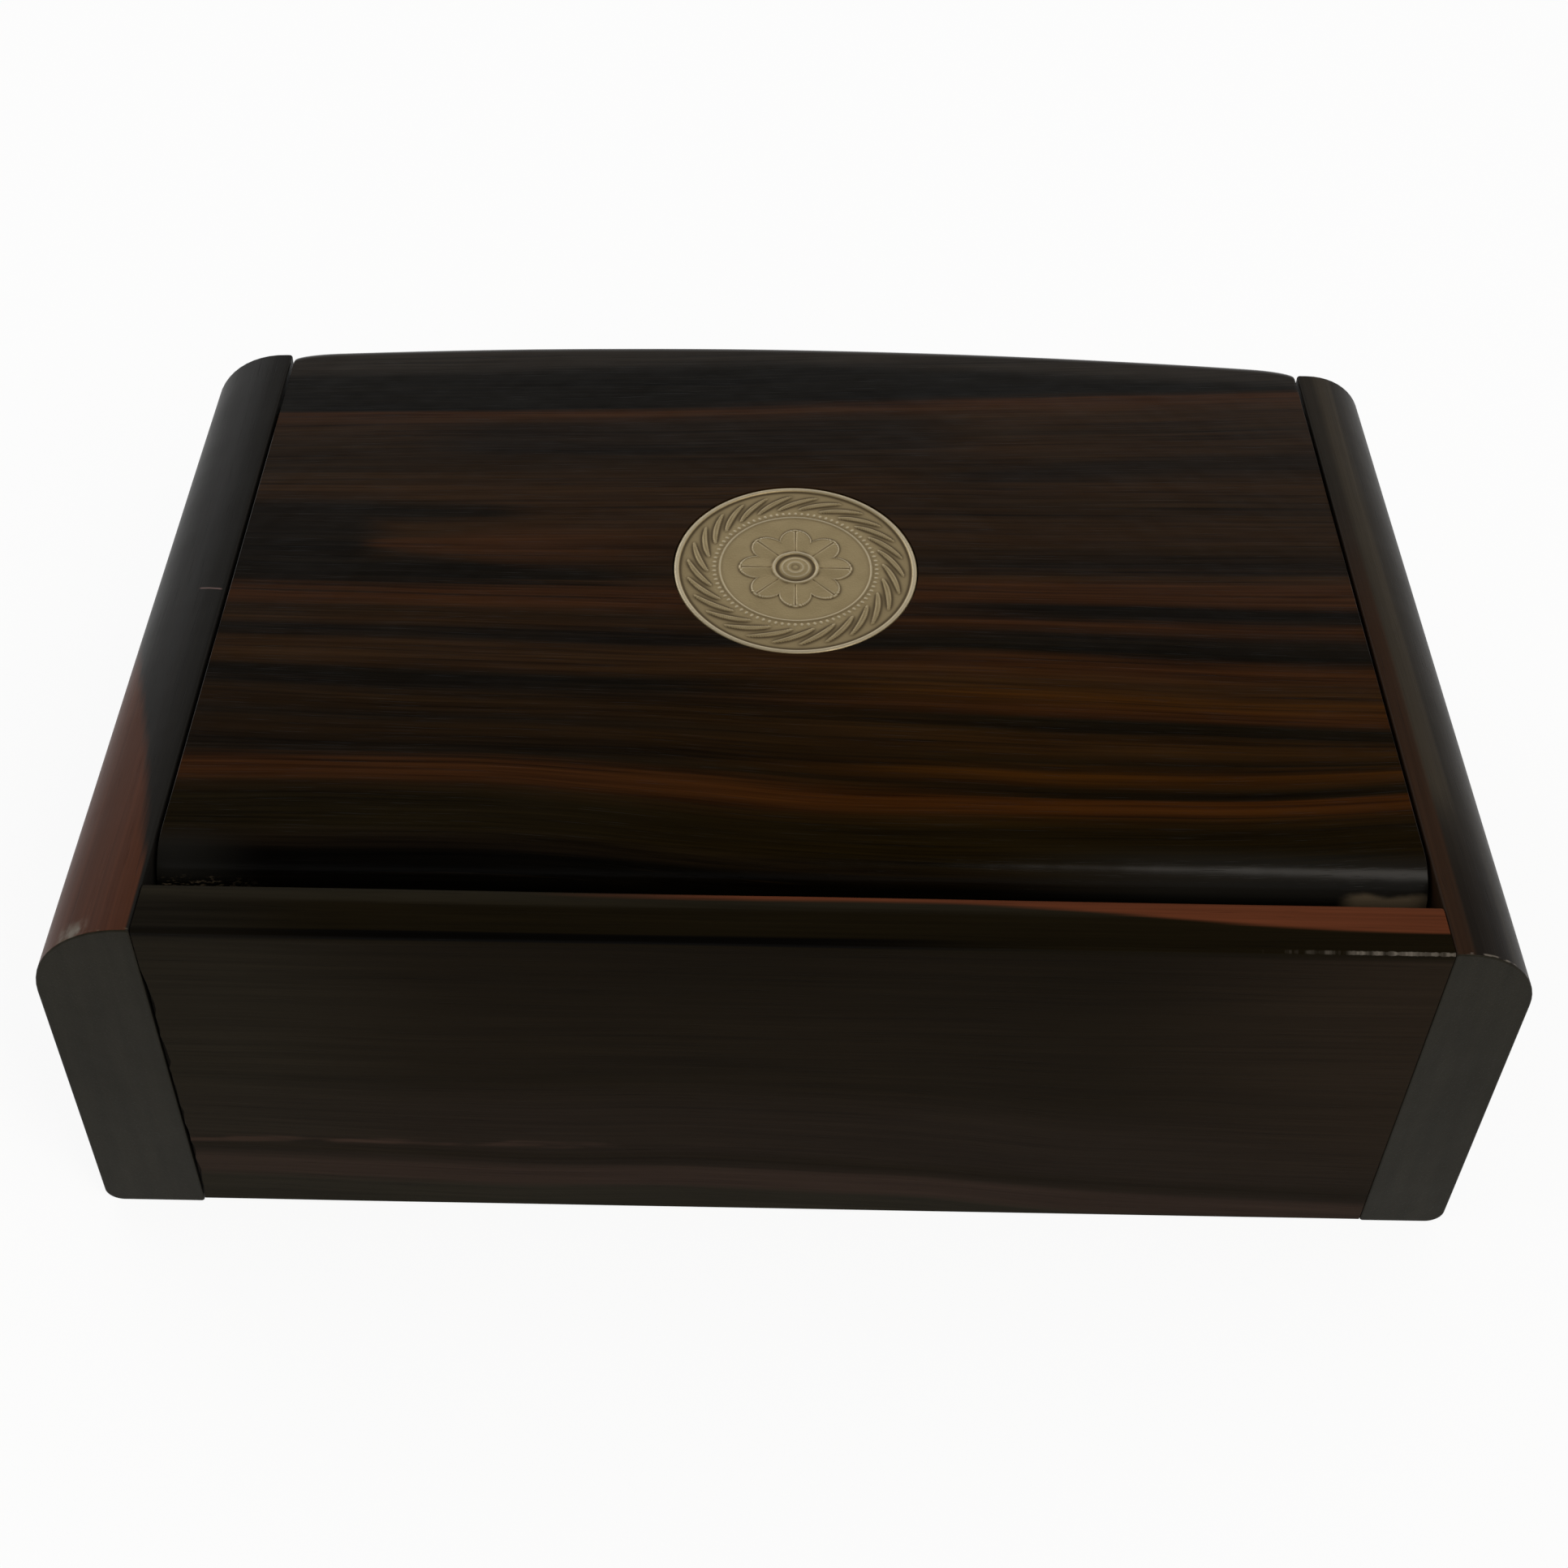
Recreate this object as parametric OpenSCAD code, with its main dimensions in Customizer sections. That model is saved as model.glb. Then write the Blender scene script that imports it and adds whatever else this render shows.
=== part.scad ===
// Low rectangular keepsake and money box in dark wood. Two thick ends with
// rounded outer edges hold a rear board, a front board and a bottom board.
// The lid turns on two short blind pins between the ends and carries a coin.
// Millimetres. Z is up, the base is at Z = 0, the hinge is on the -Y side.

/* [Case] */
// Depth of the two ends, rear face to front face
case_d = 95; // [80:0.5:130]
// Height of the case, which is also the top of the closed lid
case_h = 50; // [40:0.1:80]
// Clear width between the two ends
inner_w = 133.3; // [100:0.1:200]
// Thickness of the left end
left_end_t = 11.2; // [9:0.1:15]
// Thickness of the right end
right_end_t = 9.5; // [9:0.1:15]
// Radius of the left end's rounded top outer edge, at most its thickness
left_round_r = 10.4; // [4:0.1:15]
// Radius of the right end's rounded top outer edge, at most its thickness
right_round_r = 8.2; // [4:0.1:15]
// Radius of the bottom outer edge of each end
end_foot_r = 2; // [0.5:0.1:4]

/* [Boards] */
// Thickness of the rear board, beside the hinge
rear_board_t = 6.4; // [5:0.1:9]
// Thickness of the front board, under the lid's lip
front_board_t = 6; // [5:0.1:9]
// Radius of the rear board's top edge on the side of the lid
rear_ease_r = 0.9; // [0.5:0.1:3]
// How much higher the rear board's lower edge runs at its left end
rear_foot_rise = 0.4; // [0.1:0.1:1.5]
// Open gap in the joint between the rear board and the left end
rear_joint_gap = 0.3; // [0.1:0.05:0.6]
// Radius of the small eased edges on the boards and the lid's sides
ease_r = 0.5; // [0.2:0.1:0.8]

/* [Bottom] */
// Thickness of the bottom board
bottom_t = 4; // [3:0.5:6]
// Height of the bottom board's underside above the base
bottom_rise = 3; // [2:0.5:6]
// Depth of the grooves that hold the bottom board
groove_depth = 2.5; // [1.5:0.1:3]
// Play of the bottom board in its grooves
groove_play = 0.2; // [0.1:0.05:0.5]

/* [Lid] */
// Thickness of the lid
lid_t = 9.5; // [7:0.1:12]
// Gap between each side of the lid and the end beside it
lid_side_gap = 0.4; // [0.2:0.05:1]
// Gap between the lid's rounded rear edge and the rear board
lid_rear_gap = 2.2; // [1:0.1:5]
// Gap between the underside of the closed lid and the front board
lid_seat_gap = 0.2; // [0.1:0.05:0.5]
// How far the lid's lip reaches past the front of the case, at its middle
lip_reach = 4.6; // [3.5:0.1:8]
// How far the bowed front of the lid falls back from its middle to its corners
lip_bow = 3.4; // [1:0.1:3.4]
// Sideways shift of the bow's foremost point
lip_bow_shift = 4; // [0:0.5:8]
// Radius of the lip's top edge
lip_top_r = 2; // [0.5:0.1:4]
// Radius of the lip's bottom edge
lip_foot_r = 1; // [0.5:0.1:3]

/* [Hinge] */
// Diameter of the hinge pins
pin_d = 2.5; // [1.5:0.1:4]
// Length of each pin that is fixed in its end
pin_in_end = 6; // [4:0.5:7]
// Length of each pin that runs in the lid
pin_in_lid = 12; // [6:0.5:20]
// Radial running clearance of a pin in the lid
pin_fit = 0.05; // [0.02:0.01:0.1]
// Clearance at the blind bottom of every pin and dowel hole
blind_play = 0.5; // [0.2:0.1:1]

/* [Dowels] */
// Diameter of the dowels that join the boards to the ends
dowel_d = 3; // [2:0.1:4]
// Length of each dowel that is held in an end
dowel_in_end = 6; // [4:0.5:7]
// Length of each dowel that is held in a board
dowel_in_board = 10; // [6:0.5:15]
// Distance of the upper dowels below a board's top edge
dowel_below_top = 8; // [5:0.5:12]
// Distance of the lower dowels above the bottom board
dowel_above_bottom = 8; // [4:0.5:12]
// Radial glue clearance of the dowels, and of the pins in the ends
glue_fit = 0.02; // [0.01:0.01:0.05]

/* [Coin] */
// Diameter of the coin
coin_d = 29; // [20:0.5:40]
// Thickness of the coin at its rim
coin_t = 2; // [1.5:0.1:3]
// Width of the coin's raised rim
coin_rim_w = 0.8; // [0.4:0.1:1.5]
// Height of the rim and of the relief above the coin's field
coin_relief = 0.2; // [0.1:0.05:0.4]
// Radial gap between the coin and its seat in the lid
coin_fit = 0.15; // [0.05:0.05:0.5]
// How far the coin's rim lies below the top of the lid
coin_sink = 0.05; // [0:0.05:0.5]
// Distance from the back of the case to the middle of the coin
coin_y = 55.6; // [45:0.1:70]
// Radius of the raised ring in the middle of the coin
coin_ring_r = 6.2; // [4:0.1:8]
// Number of beads inside the rim
coin_beads = 40; // [12:1:60]
// Diameter of each bead
coin_bead_d = 0.9; // [0.5:0.1:1.2]

/* [Hidden] */
$fn = 96;

case_w = left_end_t + inner_w + right_end_t;
total_d = case_d + lip_reach;
left_in_x = left_end_t - case_w / 2;
right_in_x = case_w / 2 - right_end_t;
mid_x = (left_in_x + right_in_x) / 2;
rear_y = -total_d / 2;
front_y = rear_y + case_d;

rear_in_y = rear_y + rear_board_t;
front_in_y = front_y - front_board_t;
front_board_h = case_h - lid_t - lid_seat_gap;
bottom_top_z = bottom_rise + bottom_t;

lid_w = inner_w - 2 * lid_side_gap;
lid_bottom_z = case_h - lid_t;
lid_rear_y = rear_in_y + lid_rear_gap;
pin_y = lid_rear_y + lid_t / 2;
pin_z = case_h - lid_t / 2;
lip_y = front_y + lip_reach;
lip_half_w = lid_w / 2 + lip_bow_shift;
lip_bow_r = (pow(lip_half_w, 2) + pow(lip_bow, 2)) / (2 * lip_bow);
lip_bow_y = lip_y - lip_bow_r;

dowel_low_z = bottom_top_z + dowel_above_bottom;
rear_dowel_y = rear_y + rear_board_t / 2;
front_dowel_y = front_y - front_board_t / 2;

coin_mid_y = rear_y + coin_y;
coin_top_z = case_h - coin_sink;
bead_ring_r = coin_d / 2 - coin_rim_w - coin_bead_d;

cut = 1;            // how far a cutting shape runs past the face it cuts
bow_sweep_deg = 30; // sweep of the disc that shapes the lid's bowed front
bow_fn = 900;       // steps of a full turn of that large disc

end_color = "#2a2626";
board_color = "#3a2c22";
lid_color = "#33241d";
inside_color = "#46342a";
dowel_color = "#a08050";
pin_color = "#b5933f";
coin_color = "#958a6e";

// Square of side r with its quarter disc removed, to round the corner at 0,0
module corner_waste(r) {
    difference() {
        translate([-cut, -cut]) square(r + cut);
        translate([r, r]) circle(r);
    }
}

// Rectangle from 0,0 to w,h with a radius for each corner, low left first and
// then counterclockwise; a radius of 0 leaves that corner square
module eased_rectangle(w, h, radii) {
    difference() {
        square([w, h]);
        if (radii[0] > 0) corner_waste(radii[0]);
        if (radii[1] > 0) translate([w, 0]) mirror([1, 0]) corner_waste(radii[1]);
        if (radii[2] > 0) translate([w, h]) rotate(180) corner_waste(radii[2]);
        if (radii[3] > 0) translate([0, h]) mirror([0, 1]) corner_waste(radii[3]);
    }
}

// Profile in the YZ plane, extruded along X from x0 over a length
module along_x(x0, length) {
    translate([x0, 0, 0]) rotate([90, 0, 90]) linear_extrude(length) children();
}

// Profile in the XZ plane, extruded along Y from y0 over a length
module along_y(y0, length) {
    translate([0, y0 + length, 0]) rotate([90, 0, 0]) linear_extrude(length) children();
}

// Round bar along X from x0 to x1
module bar_x(x0, x1, d, y, z) {
    translate([x0, y, z]) rotate([0, 90, 0]) cylinder(d = d, h = x1 - x0);
}

// Box with its low corner and its high corner
module block(low, high) {
    translate(low) cube(high - low);
}

// Heights of the two dowels in a board whose top edge is at top_z
function dowel_heights(top_z) = [dowel_low_z, top_z - dowel_below_top];

// Dowels of one board at both ends, grown by extra radius and extra length
module board_dowels(y, top_z, extra_r, extra_l) {
    for (z = dowel_heights(top_z)) {
        bar_x(left_in_x - dowel_in_end - extra_l, left_in_x + dowel_in_board + extra_l,
              dowel_d + 2 * extra_r, y, z);
        bar_x(right_in_x - dowel_in_board - extra_l, right_in_x + dowel_in_end + extra_l,
              dowel_d + 2 * extra_r, y, z);
    }
}

// All dowel holes, cut from the ends and the boards alike
module dowel_holes() {
    board_dowels(rear_dowel_y, case_h, glue_fit, blind_play);
    board_dowels(front_dowel_y, front_board_h, glue_fit, blind_play);
}

// Space of the bottom board and its play, as cut from the walls around it
module bottom_groove() {
    block([left_in_x - groove_depth, rear_in_y - groove_depth, bottom_rise],
          [right_in_x + groove_depth, front_in_y + groove_depth,
           bottom_top_z + groove_play]);
}

// One end before its holes: outer face at x = 0, inner face at x = t
module end_blank(t, round_r) {
    along_y(rear_y, case_d)
        eased_rectangle(t, case_h, [end_foot_r, 0, 0, min(round_r, t)]);
}

module left_end() {
    color(end_color) difference() {
        translate([-case_w / 2, 0, 0]) end_blank(left_end_t, left_round_r);
        dowel_holes();
        bottom_groove();
        bar_x(left_in_x - pin_in_end - blind_play, left_in_x + cut,
              pin_d + 2 * glue_fit, pin_y, pin_z);
    }
}

module right_end() {
    color(end_color) difference() {
        translate([case_w / 2, 0, 0]) mirror([1, 0, 0]) end_blank(right_end_t, right_round_r);
        dowel_holes();
        bottom_groove();
        bar_x(right_in_x - cut, right_in_x + pin_in_end + blind_play,
              pin_d + 2 * glue_fit, pin_y, pin_z);
    }
}

// Board behind the hinge, whose lower edge rises a little towards the left
module rear_board() {
    x0 = left_in_x + rear_joint_gap;
    length = right_in_x - x0;
    color(board_color) difference() {
        along_x(x0, length) translate([rear_y, 0])
            eased_rectangle(rear_board_t, case_h, [ease_r, 0, rear_ease_r, ease_r]);
        along_y(rear_y - cut, rear_board_t + 2 * cut)
            polygon([[x0 - cut, -cut], [right_in_x, -cut], [right_in_x, 0],
                     [x0 - cut, rear_foot_rise]]);
        dowel_holes();
        bottom_groove();
    }
}

module front_board() {
    color(board_color) difference() {
        along_x(left_in_x, inner_w) translate([front_in_y, 0])
            eased_rectangle(front_board_t, front_board_h, [0, ease_r, ease_r, ease_r]);
        dowel_holes();
        bottom_groove();
    }
}

module bottom_board() {
    edge = groove_depth - groove_play;
    color(inside_color)
        block([left_in_x - edge, rear_in_y - edge, bottom_rise],
              [right_in_x + edge, front_in_y + edge, bottom_top_z]);
}

module rear_dowels() {
    color(dowel_color) board_dowels(rear_dowel_y, case_h, 0, 0);
}

module front_dowels() {
    color(dowel_color) board_dowels(front_dowel_y, front_board_h, 0, 0);
}

module hinge_pin_left() {
    color(pin_color)
        bar_x(left_in_x - pin_in_end, left_in_x + lid_side_gap + pin_in_lid,
              pin_d, pin_y, pin_z);
}

module hinge_pin_right() {
    color(pin_color)
        bar_x(right_in_x - lid_side_gap - pin_in_lid, right_in_x + pin_in_end,
              pin_d, pin_y, pin_z);
}

// Lid's section across its width, with eased top edges at its sides
module lid_cross_section() {
    translate([mid_x - lid_w / 2, lid_bottom_z])
        eased_rectangle(lid_w, lid_t, [0, 0, ease_r, ease_r]);
}

// What is cut away to leave a half-round rear edge around the hinge axis
module lid_nose_waste() {
    along_x(left_in_x, inner_w) difference() {
        translate([lid_rear_y - cut, lid_bottom_z - cut])
            square([lid_t / 2 + cut, lid_t + 2 * cut]);
        translate([pin_y, pin_z]) circle(d = lid_t);
    }
}

// What is cut away to leave the bowed front edge with its rounded arrises
module lid_bow_waste() {
    translate([mid_x + lip_bow_shift, lip_bow_y, lid_bottom_z])
        rotate(90 - bow_sweep_deg / 2)
            rotate_extrude(angle = bow_sweep_deg, $fn = bow_fn) translate([lip_bow_r, 0]) {
                translate([0, -cut]) square([lip_reach + lip_bow, lid_t + 2 * cut]);
                mirror([1, 0]) corner_waste(lip_foot_r);
                translate([0, lid_t]) rotate(180) corner_waste(lip_top_r);
            }
}

module lid() {
    bore_l = lid_side_gap + pin_in_lid + blind_play;
    bore_d = pin_d + 2 * pin_fit;
    color(lid_color) difference() {
        along_y(lid_rear_y, lip_y - lid_rear_y) lid_cross_section();
        lid_nose_waste();
        lid_bow_waste();
        bar_x(left_in_x - cut, left_in_x + bore_l, bore_d, pin_y, pin_z);
        bar_x(right_in_x - bore_l, right_in_x + cut, bore_d, pin_y, pin_z);
        translate([mid_x, coin_mid_y, coin_top_z - coin_t])
            cylinder(d = coin_d + 2 * coin_fit, h = coin_t + coin_sink + cut);
    }
}

// Coin with a raised rim, a ring of beads and a plain raised ring in its middle
module coin() {
    field_t = coin_t - coin_relief;
    color(coin_color) translate([mid_x, coin_mid_y, coin_top_z - coin_t]) {
        difference() {
            cylinder(d = coin_d, h = coin_t);
            translate([0, 0, field_t]) cylinder(d = coin_d - 2 * coin_rim_w, h = coin_t);
        }
        translate([0, 0, field_t]) rotate_extrude()
            translate([coin_ring_r - coin_rim_w / 2, 0]) square([coin_rim_w / 2, coin_relief]);
        for (i = [0:coin_beads - 1])
            rotate(i * 360 / coin_beads) translate([bead_ring_r, 0, 0])
                cylinder(d = coin_bead_d, h = coin_t, $fn = 24);
    }
}

left_end();
right_end();
rear_board();
front_board();
bottom_board();
rear_dowels();
front_dowels();
hinge_pin_left();
hinge_pin_right();
lid();
coin();
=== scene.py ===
"""Low keepsake and money box in striped dark wood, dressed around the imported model.

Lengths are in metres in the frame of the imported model: +Z up, the hinge on the
-Y side, the lid's lip on the +Y side. MM turns millimetres into metres.
"""
import math

import bmesh
import bpy
import numpy as np
from mathutils import Euler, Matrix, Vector, noise


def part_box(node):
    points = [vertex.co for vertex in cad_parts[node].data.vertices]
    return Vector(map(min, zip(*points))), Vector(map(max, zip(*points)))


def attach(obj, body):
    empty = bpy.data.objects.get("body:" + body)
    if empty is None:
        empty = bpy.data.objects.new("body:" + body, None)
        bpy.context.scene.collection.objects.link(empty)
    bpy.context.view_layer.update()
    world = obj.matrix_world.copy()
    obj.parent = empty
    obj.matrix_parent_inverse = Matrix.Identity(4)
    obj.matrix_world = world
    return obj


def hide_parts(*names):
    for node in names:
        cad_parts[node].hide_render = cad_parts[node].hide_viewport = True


MM = 0.001

# ---------------------------------------------------------------- driving sizes
ARRIS_R = 0.4 * MM          # worn radius of the plain edges
LEFT_ROUND_R = 10.4 * MM    # top outer edge of the left end
RIGHT_ROUND_R = 8.2 * MM    # top outer edge of the right end
END_ARRIS_R = 0.25 * MM     # worn edges around the two end-grain faces
END_GRAIN_FADE = (0.10, 0.22)           # where the end grain gives way, in mm from its face
END_FOOT_R = 2.0 * MM       # bottom outer edge of the ends
REAR_EASE_R = 0.9 * MM      # rear board's top edge beside the lid
LIP_TOP_R = 2.0 * MM        # top edge of the lid's lip
LIP_FOOT_R = 1.0 * MM       # bottom edge of the lid's lip
LIP_BOW = 3.4 * MM          # fall of the lip from its middle to its corners
LIP_BOW_SHIFT = 4.0 * MM    # sideways shift of the bow's foremost point
LIP_CORNER = (5.5 * MM, 1.1 * MM)   # rounding of the lip's corners, along X and Y
COIN_FIT = 0.15 * MM        # gap between the coin and its seat
PIN_FIT = 0.05 * MM         # running clearance of the hinge pins
DOWEL_L = 16.0 * MM         # blind dowels between the boards and the ends
DOWEL_FIT = 0.02 * MM       # glue clearance around a dowel
DOWEL_PLAY = 0.5 * MM       # room beyond each of its ends
GROOVE_PLAY = 0.2 * MM      # room around the bottom board in its grooves
FOOT_LIFT = 0.4 * MM        # rise of the rear board's foot at its left end
HAND_WORK = 0.06 * MM       # how far hand work strays from true surfaces
HAND_WORK_SIZE = 26.0 * MM  # length over which it strays
BORE_PLAY = 0.5 * MM        # length of the lid's bores beyond each end of a pin
BOARD_EASE = 0.12 * MM      # eased edges around a board's end faces
LID_EASE = 0.5 * MM         # eased edges around the lid's side faces

# the open joint at the rear board's left end
JOINT_SHUT = 0.03 * MM      # its width where it is closed
JOINT_OPEN = 0.34 * MM      # mean width that is added where it stands open
JOINT_TOP = 7.0 * MM        # it opens this far below the board's top
JOINT_FOOT = 1.0 * MM       # and this far above its foot
JOINT_BLEND = 2.0 * MM      # height over which it opens
RAG_SIZES = (2.2 * MM, 0.7 * MM)        # heights of its coarse and fine raggedness

# mesh density
END_RINGS = 36              # steps along an end
BOARD_RINGS = 60            # steps along a board
LID_RINGS = 72              # cross sections along the lid, between its corners
FLAT_STEPS = 24             # steps across the lid's top and underside
ARC_STEPS_END = 14          # steps in each rounding of an end
NOSE_STEPS, LIP_TOP_STEPS, LIP_FOOT_STEPS = 28, 8, 6    # steps in the lid's roundings
LONGEST_END = 3.0 * MM      # longest side in an end's outline
LONGEST_BOARD = 1.2 * MM    # the same in a board's
PIN_SEGMENTS, DOWEL_SEGMENTS, SEAT_SEGMENTS = 32, 24, 128

# studio
FLOOR_HALF = 6.0            # half the side of the square floor
FLOOR_COLOUR = (0.88, 0.88, 0.88, 1)
FLOOR_WHITE = 0.9           # share of plain white in it for the camera and reflections
WHITE = (1, 1, 1, 1)
SOFT_LIGHT = 0.64           # strength of the world as plain soft light
DARK_SIDE, BRIGHT_SIDE = 0.24, 0.80     # mirrored backdrop behind and ahead of the camera
FADE_FROM, FADE_TO = 30, 47             # heights in degrees between which it fades
FADE = 0.985                # how much of it goes overhead
LAMPS_AIM = (0, 0, 0.04)    # the lamps' aim, low in the box
# name, place, size, power in watts, colour
LAMPS = [("softbox", (0.56, -0.62, 0.95), (0.36, 0.9), 5.2, (1.0, 0.95, 0.88)),
         ("window", (-0.75, 0.75, 0.55), (0.6, 0.6), 1.5, (0.95, 0.97, 1.0))]

# camera, from a fit to the box's corners and the coin in the photo
CAMERA_AT = Vector((-3.32, -185.42, 226.95)) * MM
CAMERA_TURN = (48.226, -1.255, 0.325)
CAMERA_LENS, CAMERA_SENSOR = 50.157, 36 # in mm
CAMERA_SHIFT_Y = -0.1636
CAMERA_CLIP = (0.01, 50)    # nearest and farthest that it sees


# ---------------------------------------------------------------- shader fields
class Tree:
    """Node tree of one material or world; its methods return Field objects."""

    def __init__(self, name, kind="materials"):
        self.owner = getattr(bpy.data, kind).new(name)
        self.owner.use_nodes = True
        self.nodes = self.owner.node_tree.nodes
        self.links = self.owner.node_tree.links
        self.nodes.clear()

    def add(self, kind, inputs=(), **settings):
        """New node with its settings and its inputs, given as {input: value}."""
        node = self.nodes.new(kind)
        for key, value in settings.items():
            setattr(node, key, value)
        for key, value in dict(inputs).items():
            self.feed(node.inputs[key], value)
        return node

    def feed(self, socket, value):
        if isinstance(value, Field):
            self.links.new(value.socket, socket)
        elif value is not None:
            socket.default_value = value

    def math(self, operation, *values):
        node = self.add("ShaderNodeMath", enumerate(values), operation=operation)
        return Field(self, node.outputs[0])

    def place(self):
        """Object coordinates in millimetres as three fields."""
        where = self.add("ShaderNodeTexCoord").outputs["Object"]
        split = self.add("ShaderNodeSeparateXYZ", {0: Field(self, where)})
        return [Field(self, s) * (1 / MM) for s in split.outputs]

    def vector(self, x, y, z):
        node = self.add("ShaderNodeCombineXYZ", {0: x, 1: y, 2: z})
        return Field(self, node.outputs[0])

    def noise(self, x, y, z, detail=3.0, rough=0.5):
        """Noise from about -1 to 1 at the given place."""
        node = self.add("ShaderNodeTexNoise",
                        {"Vector": self.vector(x, y, z), "Scale": 1.0,
                         "Detail": detail, "Roughness": rough})
        return (Field(self, node.outputs["Fac"]) - 0.5) * 2.6

    def rise(self, value, low, high):
        """Smooth step from 0 at low to 1 at high."""
        node = self.add("ShaderNodeMapRange",
                        {"Value": value, "From Min": low, "From Max": high},
                        interpolation_type="SMOOTHSTEP")
        return Field(self, node.outputs[0])

    def band(self, value, middle, half, soft):
        """1 within half of the middle, 0 beyond half plus soft."""
        return 1 - self.rise(self.math("ABSOLUTE", value - middle), half, half + soft)

    def mix(self, amount, first, second, blend="MIX"):
        """Colour between the first and the second, or the first with the second's tint."""
        node = self.add("ShaderNodeMix", data_type="RGBA", clamp_factor=True,
                        blend_type=blend)
        self.feed(node.inputs[0], amount)
        self.feed(node.inputs[6], first if isinstance(first, Field) else (*first, 1))
        self.feed(node.inputs[7], second if isinstance(second, Field) else (*second, 1))
        return Field(self, node.outputs[2])

    def seen(self):
        """1 where the camera, a mirror-like surface or glass looks, 0 for soft light."""
        path = self.add("ShaderNodeLightPath")
        camera, glossy, glass = (Field(self, path.outputs[kind]) for kind in (
            "Is Camera Ray", "Is Glossy Ray", "Is Transmission Ray"))
        return camera | glossy | glass

    def scale_colour(self, colour, amount):
        node = self.add("ShaderNodeVectorMath", {0: colour}, operation="SCALE")
        self.feed(node.inputs[3], amount)
        return Field(self, node.outputs[0])

    def ramp(self, value, stops, span):
        """Colour along the value, from stops of (position, colour) within the span."""
        node = self.add("ShaderNodeValToRGB", {0: value / span})
        ramp = node.color_ramp
        while len(ramp.elements) < len(stops):
            ramp.elements.new(1.0)
        for element, (position, colour) in zip(ramp.elements, stops):
            element.position = position / span
            element.color = (*colour, 1)
        return Field(self, node.outputs[0])

    def bump(self, height, depth, below=None):
        """Normal from a height field; depth is the height of 1, in metres."""
        node = self.add("ShaderNodeBump", {"Height": height, "Distance": depth,
                                           "Normal": below})
        return Field(self, node.outputs[0])

    def finish(self, colour, roughness, normal, **constants):
        shader = self.add("ShaderNodeBsdfPrincipled",
                          {"Base Color": colour, "Roughness": roughness,
                           "Normal": normal})
        for key, value in constants.items():
            shader.inputs[key.replace("_", " ")].default_value = value
        self.add("ShaderNodeOutputMaterial", {0: Field(self, shader.outputs[0])})
        return self.owner


class Field:
    """One output of a node, with arithmetic that adds Math nodes."""

    def __init__(self, tree, socket):
        self.tree, self.socket = tree, socket

    def __add__(self, other):
        return self.tree.math("ADD", self, other)

    def __sub__(self, other):
        return self.tree.math("SUBTRACT", self, other)

    def __rsub__(self, other):
        return self.tree.math("SUBTRACT", other, self)

    def __mul__(self, other):
        return self.tree.math("MULTIPLY", self, other)

    def __truediv__(self, other):
        return self.tree.math("DIVIDE", self, other)

    def __or__(self, other):
        return self.tree.math("MAXIMUM", self, other)

    __radd__, __rmul__ = __add__, __mul__


# ---------------------------------------------------------------- wood
SHADE_BLACK = (0.0012, 0.0010, 0.0008)
BLACK = (0.0040, 0.0031, 0.0020)
DARK = (0.0068, 0.0046, 0.0030)
UMBER = (0.0122, 0.0064, 0.0026)
BROWN = (0.0195, 0.0094, 0.0037)
RED = (0.0300, 0.0112, 0.0038)
GOLD = (0.0300, 0.0118, 0.0020)
OLIVE = (0.0070, 0.0048, 0.0018)
TAN = (0.0950, 0.0720, 0.0450)
GREY = (0.0120, 0.0112, 0.0098)
NOSE_SHEEN = (0.0125, 0.0118, 0.0098)
LIP_GREY_AND_SHEEN = (0.0225, 0.0175, 0.0130)
ROSE = (0.0590, 0.0205, 0.0100)
STRIP = (0.0850, 0.0250, 0.0105)
BOARD = (0.0103, 0.0071, 0.0037)
BOARD_HIGH = (0.0078, 0.0053, 0.0026)
BOARD_LOW = (0.0152, 0.0105, 0.0068)
BOARD_WARM = (0.0178, 0.0118, 0.0070)
BOARD_ROSE = (0.0290, 0.0185, 0.0132)
BOARD_GREY = (0.0178, 0.0150, 0.0098)
BOARD_PALE = (0.0450, 0.0270, 0.0190)
END_WARM = (0.0185, 0.0145, 0.0100)
END_SHEEN = (0.0420, 0.0330, 0.0220)
PALE = (0.1300, 0.0850, 0.0780)
SCUFF_AND_GLINT = (0.1500, 0.1300, 0.1050)
GRAIN_DARK, GRAIN_LIGHT = (0.0125, 0.0112, 0.0070), (0.0188, 0.0168, 0.0112)
GOLDEN_TINT = (1.05, 0.86, 0.30)
BOTTOM_DARK, BOTTOM_LIGHT = (0.016, 0.010, 0.006), (0.040, 0.022, 0.012)
DOWEL_DARK, DOWEL_LIGHT = (0.26, 0.16, 0.08), (0.44, 0.30, 0.16)


def fibres(t, along, across, depth):
    """Fine fibres and broader threads along the grain, around 0, and pores, 0 to 1."""
    fine = t.noise(along * 0.030, across * 2.3, depth * 2.3, detail=4, rough=0.6)
    thread = t.noise(along * 0.012, across * 1.05, depth * 1.05, detail=4, rough=0.6)
    pores = t.noise(along * 0.16, across * 7.5, depth * 7.5, detail=1)
    return fine, thread, t.rise(pores, 0.30, 0.75)


def polish(t, colour, fine, pores, x, y, z, rough, gloss, pore_depth=0.012):
    """Satin surface over a wood colour: pores, faint waves and uneven gloss."""
    patches = t.noise(x * 0.06, y * 0.06, z * 0.06, detail=2)
    waves = t.noise(x * 0.11, y * 0.11, z * 0.11, detail=2)
    roughness = rough + patches * 0.03 + pores * 0.05
    grain = t.bump(fine * 0.3 - pores, pore_depth * MM)
    normal = t.bump(waves, 0.05 * MM, below=grain)
    return t.finish(colour, roughness, normal, Specular_IOR_Level=gloss)
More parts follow.
